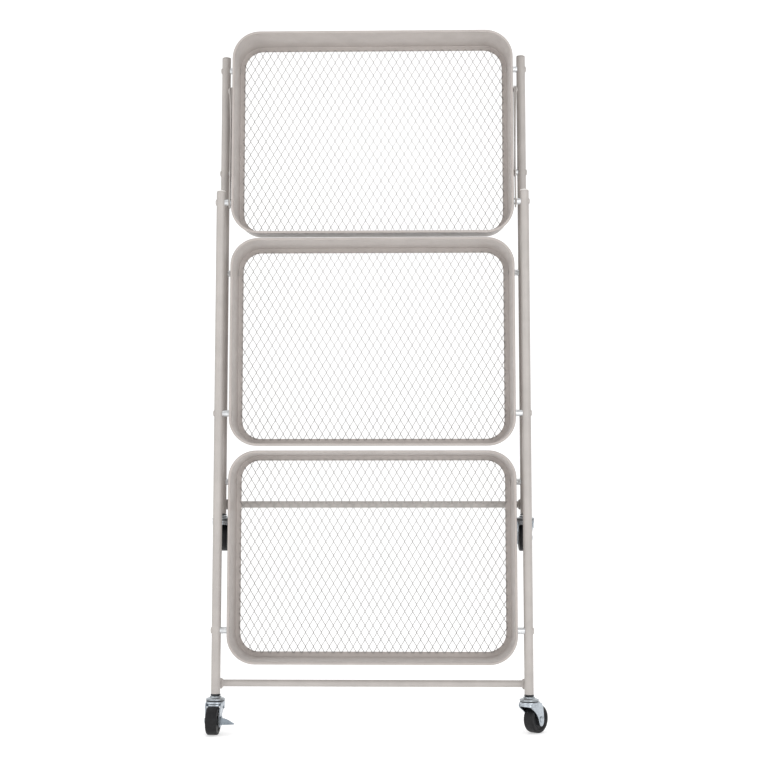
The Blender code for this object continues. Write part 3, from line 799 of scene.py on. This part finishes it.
def brake_lever(caster):
    """Side brake: a boss on the axle with a dished pedal sloping down and outwards."""
    near = -(FORK_INNER + FORK_SHEET + GAP)
    far = near - 0.0015
    node = "brake_lever_" + caster.corner
    bm = bmesh.new()
    ring = [(0.0028, far), (0.0059, far), (0.0064, far + 0.0004), (0.0064, near - 0.0004),
            (0.0059, near), (0.0028, near)]
    lathe(bm, ring, caster.wheel, axis="X", sides=40, wrap=True)
    loops = []
    for reach, upper, lower in PEDAL_SECTIONS:
        upper, lower = Vector(upper), Vector(lower)
        slope = lower - upper
        across = Vector((-slope.y, slope.x)).normalized()
        loop = []
        for u, v in circle(1.0, 24):
            along = 0.5 + 0.5 * math.copysign(abs(u) ** 0.8, u)
            dish = 0.0006 * (2.0 * along - 1.0) ** 2
            flat = math.copysign(abs(v) ** 0.5, v)
            point = upper + slope * along + across * (0.0006 * flat + dish)
            loop.append(caster.wheel @ Vector((far - reach, point.x, point.y)))
        loops.append(loop)
    skin(bm, loops)
    to_object(node + "_pressing", bm, "lever", "brake_" + caster.corner, [node], smooth=55.0)


# ---------------------------------------------------------------- studio

def floor_and_backdrop():
    """White paper sweep: level floor that rises far behind the cart."""
    material = bpy.data.materials.new("studio_white")
    material.use_nodes = True
    shader = material.node_tree.nodes["Principled BSDF"]
    shader.inputs["Base Color"].default_value = (0.80, 0.80, 0.80, 1.0)
    shader.inputs["Roughness"].default_value = 1.0
    shader.inputs["Specular IOR Level"].default_value = 0.0
    shader.inputs["Emission Color"].default_value = (1.0, 1.0, 1.0, 1.0)
    shader.inputs["Emission Strength"].default_value = 0.42
    bm = bmesh.new()
    section = [(-6.0, 0.0), (7.0, 0.0)]
    section += [(y, z) for y, z in arc((7.0, 3.0), 3.0, -82.5, 0.0, 11)]
    section += [(10.0, 9.0)]
    rows = [[bm.verts.new((x, y, z)) for x in (-7.0, 7.0)] for y, z in section]
    for row, following in zip(rows, rows[1:]):
        bm.faces.new((row[0], row[1], following[1], following[0]))
    mesh = bpy.data.meshes.new("studio_sweep")
    bm.to_mesh(mesh)
    bm.free()
    mesh.shade_smooth()
    mesh.materials.append(material)
    sweep = bpy.data.objects.new("studio_sweep", mesh)
    bpy.context.collection.objects.link(sweep)


def softbox(name, place, target, size, power):
    light = bpy.data.lights.new(name, "AREA")
    light.shape = "RECTANGLE"
    light.size, light.size_y = size
    light.energy = power
    obj = bpy.data.objects.new(name, light)
    obj.location = place
    obj.rotation_mode = "QUATERNION"
    obj.rotation_quaternion = (Vector(target) - Vector(place)).to_track_quat("-Z", "Y")
    bpy.context.collection.objects.link(obj)


def studio_light():
    world = bpy.data.worlds.new("studio")
    bpy.context.scene.world = world
    world.use_nodes = True
    tree = world.node_tree
    background = tree.nodes["Background"]
    background.inputs["Color"].default_value = (1.0, 1.0, 1.0, 1.0)
    background.inputs["Strength"].default_value = 0.80
    seen = tree.nodes.new("ShaderNodeBackground")
    seen.inputs["Color"].default_value = (1.0, 1.0, 1.0, 1.0)
    seen.inputs["Strength"].default_value = 1.05
    ray = tree.nodes.new("ShaderNodeLightPath")
    mix = tree.nodes.new("ShaderNodeMixShader")
    tree.links.new(ray.outputs["Is Camera Ray"], mix.inputs["Fac"])
    tree.links.new(background.outputs["Background"], mix.inputs[1])
    tree.links.new(seen.outputs["Background"], mix.inputs[2])
    tree.links.new(mix.outputs["Shader"], tree.nodes["World Output"].inputs["Surface"])
    softbox("left_softbox", (-1.8, -1.6, 0.9), (0.0, 0.0, 0.5), (1.8, 2.0), 11.5)
    softbox("right_softbox", (1.1, -2.4, 0.7), (0.0, 0.0, 0.5), (1.8, 2.0), 21.5)
    softbox("top_softbox", (0.0, 0.2, 2.6), (0.0, 0.0, 0.0), (2.4, 2.0), 8.0)


CAMERA_PLACE = (0.0545, -1.8548, 0.3110)
CAMERA_YAW = math.radians(1.174)        # to the left
CAMERA_PITCH = math.radians(5.20)       # upwards
CAMERA_LENS = 62.38


def photo_camera():
    data = bpy.data.cameras.new("camera")
    data.lens = CAMERA_LENS
    data.sensor_width = 36.0
    data.dof.use_dof = False
    data.clip_start, data.clip_end = 0.05, 60.0
    camera = bpy.data.objects.new("camera", data)
    turn = Matrix.Rotation(CAMERA_YAW, 4, "Z") @ Matrix.Rotation(math.radians(90.0) + CAMERA_PITCH, 4, "X")
    camera.matrix_world = Matrix.Translation(CAMERA_PLACE) @ turn
    bpy.context.collection.objects.link(camera)
    bpy.context.scene.camera = camera
    bpy.context.scene.view_settings.view_transform = "Standard"


# ---------------------------------------------------------------- assembly

def build_frames():
    for end, body, cap in (("front", "front_frame", "pale_cap"), ("rear", "rear_frame", "coat_cap")):
        for side_name in SIDES:
            leg("{}_leg_{}".format(end, side_name), body)
            leg_cap("{}_leg_cap_{}".format(end, side_name), body, cap)
            stem_socket("{}_stem_socket_{}".format(end, side_name), body)
        crossbar(end + "_crossbar", body)


def build_pivots():
    for side_name, side in SIDES.items():
        for tier in TIERS:
            for end in ("front", "rear"):
                name = "{}_{}_pivot_{}".format(tier, end, side_name)
                body = end + "_frame"
                place, inner = pivot(name, body, side)   # inner head's seat, from the leg
                start = LEG_RADIUS - SPACER_SEATING
                stop = inner - 0.0021
                if tier == "top" and end == "front":
                    spacer(name + "_washer", body, place, start, 0.0112)
                    spacer(name + "_spacer", body, place, 0.0133, stop)
                else:
                    spacer(name + "_spacer", body, place, start, stop)
        name = "brace_foot_rivet_" + side_name
        place, inner = pivot(name, "rear_frame", side)
        spacer(name + "_washer", "rear_frame", place, LEG_RADIUS - SPACER_SEATING, 0.0090)


def build_braces():
    for side_name in SIDES:
        strap("brace_lower_link_" + side_name, "brace_lower_" + side_name)
        far = strap("brace_upper_link_" + side_name, "brace_upper_" + side_name)
        knee(side_name, far)


def build_casters():
    for corner in CORNERS:
        caster = Caster(corner)
        caster_head(caster)
        caster_fork(caster)
        caster_wheel(caster)
        caster_axle(caster)
        if caster.braked:
            brake_lever(caster)


def build_baskets():
    for tier in TIERS:
        basket = Basket(tier)
        band(basket)
        mesh_floor(basket)


photo_camera()
floor_and_backdrop()
studio_light()
build_frames()
build_baskets()
build_pivots()
build_braces()
build_casters()
